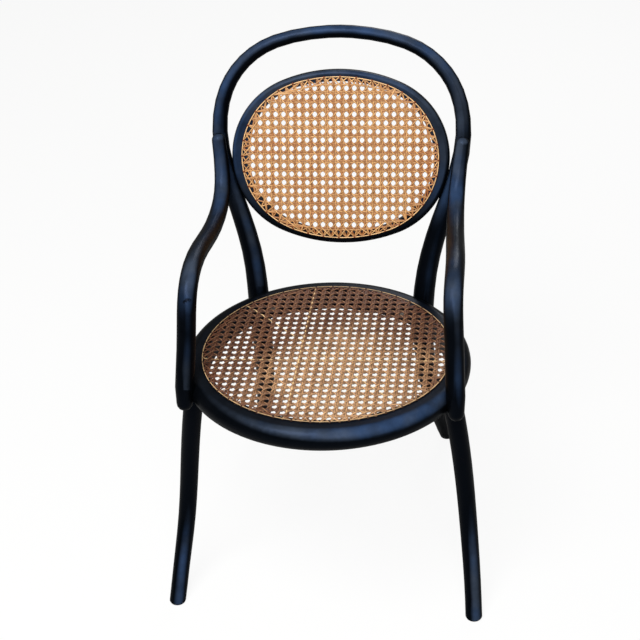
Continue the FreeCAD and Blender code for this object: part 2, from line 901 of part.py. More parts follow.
def build_panel(chair, joints):
    """Oval panel ring, its cane, binder and ties."""
    size = chair.size
    doc = chair.doc
    margin = size("cane_margin")
    outline, cane = panel_outline(chair), panel_cane_outline(chair)
    body, blank = ring_body(
        chair,
        "panel_ring",
        (outline, PANEL_TEXTS),
        (cane.inset(margin), PANEL_CANE_TEXTS, "Sizes.cane_margin"),
        "panel_depth",
    )
    inside = outline.inset(1)

    def outer_rim(edge):
        middle = edge.valueAt((edge.FirstParameter + edge.LastParameter) / 2)
        return edge.BoundBox.ZLength < 0.01 and not inside.contains(middle.x, middle.y)

    round_ring(body, blank, "panel_ring_rounding", outer_rim, "Sizes.panel_rounding")
    frame = panel_frame(chair)
    body.Placement = frame
    holes = doc.addObject("Part::Feature", "panel_ring_holes")
    holes.Shape = drill(joints.panel_screws, size("panel_screw_length"),
                        size("screw_diameter") / 2, size("screw_head_diameter") / 2,
                        size("screw_head_depth"), size("hole_gap"))
    ring = doc.addObject("Part::Cut", "back_panel_ring")
    ring.Base = body
    ring.Tool = holes
    doc.recompute()
    chair.add(ring, "back_panel_ring")
    face = FreeCAD.Placement(frame.multVec(UP * size("panel_depth")), frame.Rotation)
    add_caning(
        chair, "back", cane, PANEL_CANE_TEXTS, "0", cane.inset(margin),
        (size("panel_hole_pitch"), size("panel_gap_pitch"), size("panel_gap_pitch")),
        face,
    )


def build_hoop(chair, joints):
    """Back hoop with rear legs, notched for the rings and drilled for its fasteners."""
    size = chair.size
    gap = size("seat_gap")
    rod = hoop_rod(chair)
    panel = ring_cutter(
        panel_outline(chair), 0, size("panel_depth"), size("panel_rounding"), gap
    )
    panel.Placement = panel_frame(chair).multiply(panel.Placement)
    screw = size("screw_diameter") / 2
    head = size("screw_head_diameter") / 2
    depth = size("screw_head_depth")
    close = size("hole_gap")
    cutters = [
        seat_cutter(chair),
        panel,
        drill(joints.bolts, 60, size("bolt_diameter") / 2,
              size("bolt_head_diameter") / 2, 0, close),
        drill(joints.arm_top_screws, size("arm_top_screw_length"), screw, head, depth, close),
        drill(joints.panel_screws, size("panel_screw_length"), screw, head, depth, close),
    ]
    for cutter in cutters:
        rod = rod.cut(cutter)
    chair.add_shape("back_hoop", rod)


def build_arms(chair, joints):
    """The two arms: a tongue hollowed onto the hoop and a tail notched onto the ring."""
    size = chair.size
    gap = size("seat_gap")
    grown_hoop = hoop_rod(chair, gap)
    ring = seat_cutter(chair)
    screw = size("screw_diameter") / 2
    head = size("screw_head_diameter") / 2
    depth = size("screw_head_depth")
    close = size("hole_gap")
    holes = [
        drill(joints.arm_top_screws, size("arm_top_screw_length"), screw, head, depth, close),
        drill(joints.arm_foot_screws, size("arm_foot_screw_length"), screw, head, depth, close),
    ]
    right = arm_stations(chair)
    left = [(mirrored(point), diameter) for point, diameter in right]
    for label, stations in (("arm_right", right), ("arm_left", left)):
        rod = bent_rod(stations, RIGHT, domed_end, domed_end)
        for cutter in [grown_hoop, ring] + holes:
            rod = rod.cut(cutter)
        chair.add_shape(label, rod)


def build_legs(chair, joints):
    """The two front legs, coped to the ring's underside, with round tenons."""
    size = chair.size
    ring = seat_cutter(chair)
    right = leg_stations(chair)
    left = [(mirrored(point), diameter) for point, diameter in right]
    overlap = 12
    for label, stations, top in (
        ("front_leg_right", right, joints.leg_tops[0]),
        ("front_leg_left", left, joints.leg_tops[1]),
    ):
        leg = bent_rod(stations, RIGHT, foot_end(size("foot_rounding")), square_end)
        leg = leg.cut(ring)
        tenon = pin(top - UP * overlap, UP, size("tenon_length") + overlap,
                    size("tenon_diameter") / 2)
        chair.add_shape(label, leg.fuse(tenon).removeSplitter())


def build_fasteners(chair, joints):
    """Wood screws, bolts and nuts, each kind one group of separate solids."""
    size = chair.size
    doc = chair.doc
    for label, spots in (
        ("arm_top_screws", joints.arm_top_screws),
        ("arm_foot_screws", joints.arm_foot_screws),
        ("panel_screws", joints.panel_screws),
    ):
        screw = wood_screw(chair, label[:-1], "Sizes.%s_length" % label[:-1])
        copies = [placed(screw.Shape, start, direction) for start, direction in spots]
        chair.add_shape(label, Part.makeCompound(copies))
    band = joints.band
    bearing = size("post_diameter") / 2 - size("post_notch")
    grip = size("post_diameter") / 2 - 3 + bearing + band + size("seat_gap")
    head = cylinder(
        doc, "bolt_head", "Sizes.bolt_head_diameter / 2", "Sizes.bolt_head_height",
        "-Sizes.bolt_head_height",
    )
    shank = cylinder(
        doc, "bolt_shank", "Sizes.bolt_diameter / 2",
        "Sizes.post_diameter - Sizes.post_notch - 3 + Sizes.ring_rim + Sizes.cane_margin"
        " + Sizes.nut_thickness + 3",
    )
    bolt = doc.addObject("Part::Fuse", "hoop_bolt")
    bolt.Base = head
    bolt.Tool = shank
    block = box(
        doc, "nut_block", ("Sizes.nut_width", "Sizes.nut_width", "Sizes.nut_thickness"),
        ("-Sizes.nut_width / 2", "-Sizes.nut_width / 2", "0"),
    )
    bore = cylinder(
        doc, "nut_bore", "Sizes.bolt_diameter / 2 + Sizes.hole_gap", "Sizes.nut_thickness"
    )
    nut = doc.addObject("Part::Cut", "hoop_nut")
    nut.Base = block
    nut.Tool = bore
    doc.recompute()
    bolts = [placed(bolt.Shape, start, direction) for start, direction in joints.bolts]
    nuts = [
        placed(nut.Shape, start + direction * grip, direction)
        for start, direction in joints.bolts
    ]
    chair.add_shape("hoop_bolts", Part.makeCompound(bolts))
    chair.add_shape("hoop_nuts", Part.makeCompound(nuts))


def check_document(chair):
    """Stop on any failed object and on any empty or invalid sub-part."""
    for feature in chair.doc.Objects:
        if "Invalid" in feature.State or "Error" in feature.State:
            raise ValueError("%s failed: %s" % (feature.Label, feature.State))
    for feature in chair.subparts:
        shape = feature.Shape
        if shape.isNull() or not shape.isValid() or not shape.Solids:
            raise ValueError("%s has no valid solid" % feature.Label)


def centre_on_floor(chair):
    """Slide every piece so that the bounding box is centred on the origin."""
    boxes = [
        feature.Shape.optimalBoundingBox(False, False)
        for feature in chair.subparts
        if feature.Label in ("back_hoop", "seat_ring", "front_leg_right")
    ]
    rear = max(bounds.YMax for bounds in boxes)
    front = min(bounds.YMin for bounds in boxes)
    slide = FreeCAD.Placement(BACK * (-(front + rear) / 2), FreeCAD.Rotation())
    for feature in chair.subparts:
        feature.Placement = slide.multiply(feature.Placement)


def main():
    os.makedirs("parts", exist_ok=True)
    chair = Chair()
    joints = Joints(chair)
    build_seat(chair, joints)
    build_panel(chair, joints)
    build_hoop(chair, joints)
    build_arms(chair, joints)
    build_legs(chair, joints)
    build_fasteners(chair, joints)
    chair.doc.recompute()
    check_document(chair)
    centre_on_floor(chair)
    for feature in chair.subparts:
        feature.Shape.exportStep("parts/%s.step" % feature.Label)
        print(feature.Label, len(feature.Shape.Solids), round(feature.Shape.Volume))


main()
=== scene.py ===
import math
import random

import bmesh
import bpy
import numpy as np
from mathutils import Matrix, Vector

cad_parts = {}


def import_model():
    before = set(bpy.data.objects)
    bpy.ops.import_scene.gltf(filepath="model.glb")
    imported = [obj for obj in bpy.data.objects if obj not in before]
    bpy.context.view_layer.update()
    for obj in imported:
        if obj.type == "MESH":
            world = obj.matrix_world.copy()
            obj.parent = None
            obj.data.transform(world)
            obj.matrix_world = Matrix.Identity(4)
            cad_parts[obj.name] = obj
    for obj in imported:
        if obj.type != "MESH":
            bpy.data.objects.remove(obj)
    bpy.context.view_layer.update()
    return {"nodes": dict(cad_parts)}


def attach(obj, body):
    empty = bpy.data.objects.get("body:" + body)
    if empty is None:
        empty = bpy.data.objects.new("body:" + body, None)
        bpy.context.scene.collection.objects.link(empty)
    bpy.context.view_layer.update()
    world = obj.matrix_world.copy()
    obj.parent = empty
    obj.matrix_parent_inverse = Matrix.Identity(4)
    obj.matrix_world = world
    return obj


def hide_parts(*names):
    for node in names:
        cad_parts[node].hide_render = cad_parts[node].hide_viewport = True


MM = 0.001

# seat ring and back panel, as they are in the CAD
SEAT_HEIGHT = 441
SEAT_MIDDLE = -71.455
SEAT_RIM = 32
RING_THICKNESS = 42
BACK_LEAN = math.radians(16.5)
PANEL_CENTRE = (0, 216.205, 681.37)
PANEL_DEPTH = 25

# strands of cane, their widths, offset and thickness scaled by the gauge of a sheet
PAIR_WIDTH = 2.9
PAIR_OFFSET = 1.45
SLANT_WIDTH = 2.3
STRAND_THICKNESS = 1.05
STRAND_SIDES = 8
WEAVE_LEVEL = 0.75
SHEET_THICKNESS = 1.6

# the row of holes with its binder strip and ties
HOLE_INSET = 2.0
BINDER_WIDTH = 2.3
BINDER_THICKNESS = 1.0
BINDER_SIDES = 12
BINDER_POINTS = 360
TIE_WIDTH = 3.2
TIE_THICKNESS = 0.55

# near the row of holes a strand flattens to a share of its lift and fans into one hole
LEAST_LIFT = 0.35
HOLE_LIFT = -0.9
FLAT_MARGIN = 9
RISE_MARGIN = 12
FAN_MARGIN = 12
FAN_PULL = 0.75
BORDER_POINTS = 1440
SPARE_STRANDS = 9

# tones of cane, 0 dark to 1 light and above 1 newer, and the low lift that soils a tie
PAIR_TONES = (0.0, 0.62)
SLANT_TONES = (0.3, 0.85)
NEW_TONES = (1.2, 1.25)
BINDER_TONE = 1.15
TIE_TONE = 0.0
TIE_LIFT = -1.6
LOOP_TONE = 0.35
NEW_CANE = "#efcb94"

# fasteners, the radii of screws and bolts drawn smaller than the CAD's by the play
PLAY = 0.05
SCREW_LENGTHS = {"arm_top_screws": 38, "arm_foot_screws": 55, "panel_screws": 42}
SCREW_HEAD_RADIUS = 4.3
SCREW_HEAD_DEPTH = 2.6
SCREW_RADIUS = 2.25
SCREW_POINT = 6
BOLT_HEAD_RADIUS = 7.5
BOLT_HEAD_HEIGHT = 3.5
BOLT_RADIUS = 3.0
BOLT_LENGTH = 83
BOLT_POINT = 0.6
THREAD_PITCH = 1.0
THREAD_DEPTH = 0.5
THREAD_TURNS = 9
NUT_WIDTH = 11
NUT_THICKNESS = 5
NUT_WEAR = 0.7
SLOT_WIDTH = 1.1
SLOT_DEPTH = 1.3
TURNED_SIDES = 32

# small knot in the left arm, where the paint has cracked
ARM_SCAR = (-219, -150, 590.5)

# directions that the painted bluish highlight on the black paint faces: the first only high on
# the chair, the second anywhere
HIGHLIGHT_HIGH_SIDE = (-0.3, -0.35, 0.89)
HIGHLIGHT_FRONT_SIDE = (0.3, -0.55, 0.78)

# points this near, in metres, are merged, and edges sharper than a crease stay sharp
MERGE_DISTANCE = 0.000002
ROD_CREASE = math.radians(38)
CANE_CREASE = math.radians(70)
STEEL_CREASE = math.radians(30)

# studio in metres: name, place, size and power in watts of each lamp, and the floor
LAMPS = (
    ("key", (-0.7, -1.3, 2.9), 1.4, 90),
    ("front", (0.4, -3.0, 3.0), 2.0, 105),
    ("rear", (0.4, 2.6, 2.2), 1.4, 25),
)
LAMP_TARGET = (0, 0, 0.45)
FLOOR_REACH = 9.0

# camera, matched to the photograph
CAMERA_PLACE = (302.2, -2217.36, 1868.1)
CAMERA_RIGHT = (0.99213, 0.11908, -0.03871)
CAMERA_DOWN = (0.03071, -0.5311, -0.84675)
CAMERA_AHEAD = (-0.12139, 0.8389, -0.53058)
CAMERA_LENS = 83.11
SENSOR_WIDTH = 36


def linear(code):
    """Linear RGBA colour of an sRGB hex code."""
    colour = []
    for i in (1, 3, 5):
        value = int(code[i:i + 2], 16) / 255
        if value <= 0.04045:
            colour.append(value / 12.92)
        else:
            colour.append(((value + 0.055) / 1.055) ** 2.4)
    return colour + [1.0]


def add(tree, kind, inputs=None, **settings):
    """Add a node. Each input is a value, or the socket that feeds it."""
    node = tree.nodes.new(kind)
    for name, value in settings.items():
        setattr(node, name, value)
    for socket, value in (inputs or {}).items():
        if isinstance(value, bpy.types.NodeSocket):
            tree.links.new(value, node.inputs[socket])
        else:
            node.inputs[socket].default_value = value
    return node


def arithmetic(tree, operation, *values):
    """Result of one step of arithmetic on numbers or sockets."""
    return add(tree, "ShaderNodeMath", dict(enumerate(values)), operation=operation).outputs[0]


def vector_step(tree, operation, *values):
    """Result of one step of arithmetic on vectors, a number for a length or dot product."""
    node = add(tree, "ShaderNodeVectorMath", dict(enumerate(values)), operation=operation)
    return node.outputs["Value" if operation in ("LENGTH", "DOT_PRODUCT") else "Vector"]


def noise(tree, place, size, detail=2.0, roughness=0.5):
    """Soft noise whose lumps are about a size wide, in the units of the place."""
    node = add(tree, "ShaderNodeTexNoise", {
        "Vector": place, "Scale": 1 / size, "Detail": detail, "Roughness": roughness,
    })
    return node.outputs[0]


def ranged(tree, value, low, high, first=0.0, last=1.0, smooth=False):
    """Number that goes from first to last while a value goes from low to high."""
    node = add(tree, "ShaderNodeMapRange", {
        "Value": value, "From Min": low, "From Max": high, "To Min": first, "To Max": last,
    }, interpolation_type="SMOOTHSTEP" if smooth else "LINEAR")
    return node.outputs[0]


def new_object(name, data):
    """Object in the scene, around a mesh, a lamp or a camera."""
    item = bpy.data.objects.new(name, data)
    bpy.context.scene.collection.objects.link(item)
    return item


def evaluated_mesh(item, **settings):
    """Plain mesh of an object as its modifiers make it."""
    bpy.context.view_layer.update()
    graph = bpy.context.evaluated_depsgraph_get()
    return bpy.data.meshes.new_from_object(
        item.evaluated_get(graph), depsgraph=graph, **settings
    )


class Oval:
    """Closed outline of four tangent arcs: two equal sides, a low end and a high end."""

    def __init__(self, width, side_radius, low_reach, high_reach, middle=0.0):
        self.width = width
        self.side_radius = side_radius
        self.low_reach = low_reach
        self.high_reach = high_reach
        self.middle = middle

    def inset(self, distance):
        """The same outline, moved inwards by a distance."""
        return Oval(
            self.width - 2 * distance,
            self.side_radius - distance,
            self.low_reach - distance,
            self.high_reach - distance,
            self.middle,
        )

    def arcs(self):
        """Centre, radius, first angle and last angle of the four arcs in turn."""
        side = self.side_radius
        offset = self.width / 2 - side
        ends = []
        for reach in (self.high_reach, self.low_reach):
            radius = (reach ** 2 - side ** 2 + offset ** 2) / (2 * (reach - side))
            ends.append((radius, math.atan2(radius - reach, offset)))
        (high, high_touch), (low, low_touch) = ends
        high_centre = Vector((0, self.high_reach - high, 0))
        low_centre = Vector((0, low - self.low_reach, 0))
        side_centre = Vector((offset, 0, 0))
        return [
            (side_centre, side, -low_touch, high_touch),
            (high_centre, high, high_touch, math.pi - high_touch),
            (-side_centre, side, math.pi - high_touch, math.pi + low_touch),
            (low_centre, low, math.pi + low_touch, 2 * math.pi - low_touch),
        ]

    def spread(self, count):
        """Points and outward directions, evenly spaced along the outline."""
        arcs = self.arcs()
        total = self.length()
        found = []
        for i in range(count):
            distance = total * i / count
            for centre, radius, first, last in arcs:
                length = radius * (last - first)
                if distance < length:
                    break
                distance -= length
            angle = first + distance / radius
            out = Vector((math.cos(angle), math.sin(angle), 0))
            found.append((centre + out * radius + Vector((0, self.middle, 0)), out))
        return found

    def length(self):
        """Distance once round the outline."""
        return sum(radius * (last - first) for centre, radius, first, last in self.arcs())


SEAT_CANE = Oval(
    width=503, side_radius=229, low_reach=239, high_reach=261, middle=SEAT_MIDDLE
).inset(SEAT_RIM)
PANEL_CANE = Oval(width=366, side_radius=144, low_reach=150.5, high_reach=150)


def seat_frame(height=SEAT_HEIGHT):
    """Placement of a flat layout on the seat."""
    return Matrix.Translation((0, 0, height * MM))


def panel_frame(forward=0.0):
    """Placement of a flat layout on the leaning panel, measured from its front face."""
    turn = Matrix.Rotation(math.pi / 2 - BACK_LEAN, 4, "X")
    front = Vector((0, -math.cos(BACK_LEAN), math.sin(BACK_LEAN)))
    return Matrix.Translation((Vector(PANEL_CENTRE) + front * forward) * MM) @ turn


class Weave:
    """Six-way weave: pairs of upright and level strands, and single slanting ones.

    Each strand leaves its straight run near the rim and fans into the nearest hole.
    pale holds (pair, side) of newer upright strands and (side, pair) of newer level ones,
    and pale_slants holds (way, place) of newer slanting ones.
    """

    def __init__(self, outline, hole_pitch, origin, pitch, skew, gauge, seed,
                 pale=(), pale_slants=()):
        self.pale = pale
        self.pale_slants = pale_slants
        self.origin = origin
        self.gauge = gauge
        self.offset = PAIR_OFFSET * gauge
        self.pitch = pitch
        self.skew = skew
        self.edge = outline.inset(HOLE_INSET)
        count = 2 * round(self.edge.length() / (2 * hole_pitch))
        self.holes = self.edge.spread(count)
        self.border = np.array([(p.x, p.y) for p, out in self.edge.spread(BORDER_POINTS)])
        self.random = random.Random(seed)
        half = max(outline.width, outline.low_reach + outline.high_reach) / 2
        self.reach = int(half / min(pitch)) + SPARE_STRANDS

    def place(self, u, v):
        """Point of the plane at weave coordinates, whose whole numbers are pair crossings."""
        across = self.pitch[0] * u
        level = self.pitch[1] * v + self.skew * across
        return (self.origin[0] + across, self.origin[1] + level)

    def depth(self, points):
        """How far inside the row of holes each point lies, below zero outside it."""
        points = np.array(points)
        gaps = np.linalg.norm(points[:, None, :] - self.border[None, :, :], axis=2)
        nearest = self.border[gaps.argmin(axis=1)]
        outward = nearest - np.array([0.0, self.edge.middle])
        inside = ((points - nearest) * outward).sum(axis=1) < 0
        return np.where(inside, gaps.min(axis=1), -gaps.min(axis=1))

    def nearest_hole(self, point):
        """Place of the hole that lies nearest to a point."""
        spot = Vector((point[0], point[1], 0))
        return min((place for place, out in self.holes), key=lambda hole: (hole - spot).length)

    def strand(self, marks, lean, tones):
        """One strand through (u, v, lift) marks, with both ends drawn into holes.

        lean is the strand's own height over the rim, in half thicknesses.
        tones is the range that its own tone is drawn from.
        """
        points = [self.place(u, v) for u, v, lift in marks]
        depth = self.depth(points)
        kept = [i for i in range(len(points)) if depth[i] > FAN_MARGIN]
        if len(kept) < 2:
            return None
        line = []
        for i in kept:
            share = min(1.0, max(0.0, (depth[i] - FLAT_MARGIN) / RISE_MARGIN))
            flat = LEAST_LIFT + (1 - LEAST_LIFT) * share
            line.append((*points[i], marks[i][2] * flat + lean * (1 - share)))
        for end, step in ((0, -1), (-1, 1)):
            inner, outer = kept[end], kept[end] + step
            share = depth[inner] / (depth[inner] - depth[outer])
            tip = [a + share * (b - a) for a, b in zip(points[inner], points[outer])]
            hole = self.nearest_hole(tip)
            last = line[end]
            near = (
                (1 - FAN_PULL) * last[0] + FAN_PULL * hole.x,
                (1 - FAN_PULL) * last[1] + FAN_PULL * hole.y,
                lean,
            )
            drawn = (hole.x, hole.y, HOLE_LIFT)
            if end == 0:
                line = [drawn, near] + line
            else:
                line = line + [near, drawn]
        low, high = tones
        return line, low + (high - low) * self.random.random()

    def pairs(self, upright):
        """Both strands of every upright or level pair, each over one and under the next.

        The marks after the first two ease a strand over to its next crossing.
        """
        along, across = (1, 0) if upright else (0, 1)
        near = self.offset / self.pitch[along]
        beside = self.offset / self.pitch[across]
        lean = -0.3 if upright else 0.1
        strands = []
        for i in range(-self.reach, self.reach + 1):
            for side in (-1, 1):
                rise = -side if upright else side
                marks = []
                for j in range(-self.reach, self.reach + 1):
                    for step, lift in ((-near, rise), (near, -rise), (0.28, -0.2 * rise),
                                       (0.5, 0.0), (0.72, 0.2 * rise)):
                        spot = (i + side * beside, j + step)
                        marks.append((*(spot if upright else spot[::-1]), lift))
                newer = ((i, side) if upright else (side, i)) in self.pale
                strands.append(self.strand(marks, lean, NEW_TONES if newer else PAIR_TONES))
        return [strand for strand in strands if strand]

    def slanting(self):
        """Single strands both ways, over one kind of pair and under the other."""
        near = self.offset / self.pitch[0] * 1.1
        strands = []
        for way in (1, -1):
            for k in range(-2 * self.reach, 2 * self.reach + 1):
                marks = []
                for i in range(-self.reach, self.reach + 1):
                    for step, lift in ((-near, 2), (near, 2), (0.25, 0),
                                       (0.5 - near, -2), (0.5 + near, -2), (0.75, 0)):
                        u = i + step
                        marks.append((u, way * u + k + 0.5, way * lift))
                newer = (way, k) in self.pale_slants
                lean = 0.5 + 0.3 * way
                strands.append(self.strand(marks, lean, NEW_TONES if newer else SLANT_TONES))
        return [strand for strand in strands if strand]


def line_mesh(name, lines, closed=False):
    """Loose edges along each line, with the attributes that the sweep and the cane read."""
    mesh = bpy.data.meshes.new(name)
    points, edges, lifts, tones, distances = [], [], [], [], []
    for line, tone in lines:
        first = len(points)
        distance = 0.0
        for i, (x, y, lift) in enumerate(line):
            if i:
                distance += math.dist(line[i - 1][:2], (x, y))
                edges.append((first + i - 1, first + i))
            points.append((x * MM, y * MM, 0.0))
            lifts.append(lift)
            tones.append(tone)
            distances.append(distance * MM)
        if closed:
            edges.append((len(points) - 1, first))
    mesh.from_pydata(points, edges, [])
    for key, values in (("lift", lifts), ("tone", tones), ("along", distances)):
        mesh.attributes.new(key, "FLOAT", "POINT").data.foreach_set("value", values)
    return mesh


def new_tree(name, inputs):
    """Geometry tree with a geometry input, named inputs and a geometry output."""
    tree = bpy.data.node_groups.new(name, "GeometryNodeTree")
    tree.interface.new_socket("Geometry", in_out="INPUT", socket_type="NodeSocketGeometry")
    for label, kind in inputs:
        tree.interface.new_socket(label, in_out="INPUT", socket_type="NodeSocket" + kind)
    tree.interface.new_socket("Geometry", in_out="OUTPUT", socket_type="NodeSocketGeometry")
    return tree, add(tree, "NodeGroupInput"), add(tree, "NodeGroupOutput")


def dress(tree, geometry, given, result):
    """Make copies real, give the geometry its material and hand it to the output."""
    whole = add(tree, "GeometryNodeRealizeInstances", {"Geometry": geometry})
    dressed = add(tree, "GeometryNodeSetMaterial", {
        "Geometry": whole.outputs["Geometry"], "Material": given.outputs["Material"],
    })
    tree.links.new(dressed.outputs["Geometry"], result.inputs["Geometry"])


def sweep_tree():
    """Sweeps a flat oval section along every line, lifted by the line's own attribute."""
    tree, given, result = new_tree("cane_sweep", [
        ("Width", "Float"), ("Thickness", "Float"), ("Level", "Float"),
        ("Sides", "Int"), ("Material", "Material"),
    ])
    lift = add(tree, "GeometryNodeInputNamedAttribute", {"Name": "lift"}, data_type="FLOAT")
    half = arithmetic(tree, "MULTIPLY", given.outputs["Thickness"], 0.5)
    height = arithmetic(tree, "MULTIPLY_ADD", lift.outputs["Attribute"], half,
                        given.outputs["Level"])
    offset = add(tree, "ShaderNodeCombineXYZ", {"Z": height})
    raised = add(tree, "GeometryNodeSetPosition",
                 {"Geometry": given.outputs["Geometry"], "Offset": offset.outputs[0]})
    curve = add(tree, "GeometryNodeMeshToCurve", {"Mesh": raised.outputs["Geometry"]})
    level = add(tree, "GeometryNodeSetCurveNormal", {"Curve": curve.outputs["Curve"]},
                mode="Z_UP")
    circle = add(tree, "GeometryNodeCurvePrimitiveCircle",
                 {"Resolution": given.outputs["Sides"], "Radius": 0.5})
    place = add(tree, "GeometryNodeInputPosition")
    split = add(tree, "ShaderNodeSeparateXYZ", {0: place.outputs[0]})
    marked = add(tree, "GeometryNodeStoreNamedAttribute",
                 {"Geometry": circle.outputs["Curve"], "Name": "across",
                  "Value": split.outputs["X"]},
                 data_type="FLOAT", domain="POINT")
    size = add(tree, "ShaderNodeCombineXYZ",
               {"X": given.outputs["Width"], "Y": given.outputs["Thickness"], "Z": 1.0})
    section = add(tree, "GeometryNodeTransform",
                  {"Geometry": marked.outputs["Geometry"], "Scale": size.outputs[0]})
    swept = add(tree, "GeometryNodeCurveToMesh",
                {"Curve": level.outputs["Curve"], "Profile Curve": section.outputs["Geometry"],
                 "Fill Caps": True})
    dress(tree, swept.outputs["Mesh"], given, result)
    return tree


def copies_tree():
    """Sets a copy of one piece at every point, turned to the point's own directions."""
    tree, given, result = new_tree("set_out_copies", [
        ("Piece", "Object"), ("Material", "Material"), ("Seed", "Int"), ("Sway", "Float"),
    ])
    facing = add(tree, "GeometryNodeInputNamedAttribute", {"Name": "facing"},
                 data_type="FLOAT_VECTOR")
    side = add(tree, "GeometryNodeInputNamedAttribute", {"Name": "side"},
               data_type="FLOAT_VECTOR")
    raised = add(tree, "FunctionNodeAlignRotationToVector",
                 {"Vector": facing.outputs["Attribute"]}, axis="Z")
    turned = add(tree, "FunctionNodeAlignRotationToVector",
                 {"Rotation": raised.outputs[0], "Vector": side.outputs["Attribute"]},
                 axis="X", pivot_axis="Z")
    back = arithmetic(tree, "MULTIPLY", given.outputs["Sway"], -1.0)
    sway = add(tree, "FunctionNodeRandomValue",
               {"Min": back, "Max": given.outputs["Sway"],
                "Seed": given.outputs["Seed"]}, data_type="FLOAT")
    own_turn = add(tree, "ShaderNodeCombineXYZ", {"Z": sway.outputs["Value"]})
    local = add(tree, "FunctionNodeEulerToRotation", {0: own_turn.outputs[0]})
    final = add(tree, "FunctionNodeRotateRotation",
                {"Rotation": turned.outputs[0], "Rotate By": local.outputs[0]},
                rotation_space="LOCAL")
    source = add(tree, "GeometryNodeObjectInfo", {"Object": given.outputs["Piece"]})
    points = add(tree, "GeometryNodeMeshToPoints", {"Mesh": given.outputs["Geometry"]})
    copies = add(tree, "GeometryNodeInstanceOnPoints",
                 {"Points": points.outputs["Points"], "Instance": source.outputs["Geometry"],
                  "Rotation": final.outputs[0]})
    dress(tree, copies.outputs[0], given, result)
    return tree


def grown(name, mesh, tree, values, placement=None):
    """Plain mesh object that a geometry tree makes from a layout, put in its place."""
    layout = new_object(name + "_layout", mesh)
    modifier = layout.modifiers.new("growth", "NODES")
    modifier.node_group = tree
    for item in tree.interface.items_tree:
        if item.in_out == "INPUT" and item.name in values:
            modifier[item.identifier] = values[item.name]
    made = evaluated_mesh(layout, preserve_all_data_layers=True)
    layout.modifiers.clear()
    bpy.data.objects.remove(layout)
    return piece(name, made, placement)


def piece(name, mesh, placement=None):
    """Object at the origin around a mesh, which is moved to its place."""
    if placement is not None:
        mesh.transform(placement)
    mesh.name = name
    return new_object(name, mesh)


def soften(mesh, limit):
    """Smooth shading everywhere but across edges sharper than the limit."""
    work = bmesh.new()
    work.from_mesh(mesh)
    bmesh.ops.remove_doubles(work, verts=work.verts, dist=MERGE_DISTANCE)
    bmesh.ops.dissolve_degenerate(work, edges=work.edges, dist=MERGE_DISTANCE)
    for face in work.faces:
        face.smooth = True
    for edge in work.edges:
        if len(edge.link_faces) != 2 or edge.calc_face_angle(0.0) > limit:
            edge.smooth = False
    work.to_mesh(mesh)
    work.free()
    return mesh


def rod_copy(frame, node, material):
    """Copy of a bent part from the CAD, its ruled spans shaded as one smooth bend."""
    mesh = frame["nodes"][node].data.copy()
    if "custom_normal" in mesh.attributes:
        mesh.attributes.remove(mesh.attributes["custom_normal"])
    soften(mesh, ROD_CREASE)
    mesh.materials.clear()
    mesh.materials.append(material)
    item = piece(node + "_painted", mesh)
    weigh = item.modifiers.new("even_shading", "WEIGHTED_NORMAL")
    weigh.keep_sharp = True
    made = evaluated_mesh(item)
    item.modifiers.clear()
    item.data = made
    return item


def new_material(name):
    """Material with a plain surface shader, its tree and that shader."""
    material = bpy.data.materials.new(name)
    material.use_nodes = True
    tree = material.node_tree
    tree.nodes.clear()
    shader = add(tree, "ShaderNodeBsdfPrincipled")
    output = add(tree, "ShaderNodeOutputMaterial")
    tree.links.new(shader.outputs[0], output.inputs["Surface"])
    return material, tree, shader


def mixed(tree, factor, first, second):
    """Colour between two, by a factor. Either may be a hex code or a socket."""
    node = add(tree, "ShaderNodeMix", {"Factor": factor}, data_type="RGBA")
    for socket, value in ((6, first), (7, second)):
        if isinstance(value, str):
            node.inputs[socket].default_value = linear(value)
        else:
            tree.links.new(value, node.inputs[socket])
    return node.outputs[2]


def multiplied(tree, first, second):
    """Product of two colours."""
    node = add(tree, "ShaderNodeMix", {"Factor": 1.0}, data_type="RGBA",
               blend_type="MULTIPLY")
    tree.links.new(first, node.inputs[6])
    tree.links.new(second, node.inputs[7])
    return node.outputs[2]


def dress_surface(tree, shader, colour, roughness, relief, strength, depth):
    """Feed a shader its colour, its roughness and a relief, whose depth is in metres."""
    bump = add(tree, "ShaderNodeBump",
               {"Height": relief, "Strength": strength, "Distance": depth})
    tree.links.new(colour, shader.inputs["Base Color"])
    tree.links.new(roughness, shader.inputs["Roughness"])
    tree.links.new(bump.outputs[0], shader.inputs["Normal"])


def faced(tree, direction, least, most):
    """How far the surface turns to a direction of the world, from 0 to 1."""
    facing = add(tree, "ShaderNodeNewGeometry").outputs["Normal"]
    turn = vector_step(tree, "DOT_PRODUCT", facing, direction)
    return ranged(tree, turn, least, most, smooth=True)


def distance_from(tree, spot, place, squeeze=None):
    """Distance in metres from a place in millimetres, squeezed along the axes if asked."""
    gap = vector_step(tree, "SUBTRACT", spot, [value * MM for value in place])
    if squeeze is not None:
        gap = vector_step(tree, "MULTIPLY", gap, squeeze)
    return vector_step(tree, "LENGTH", gap)


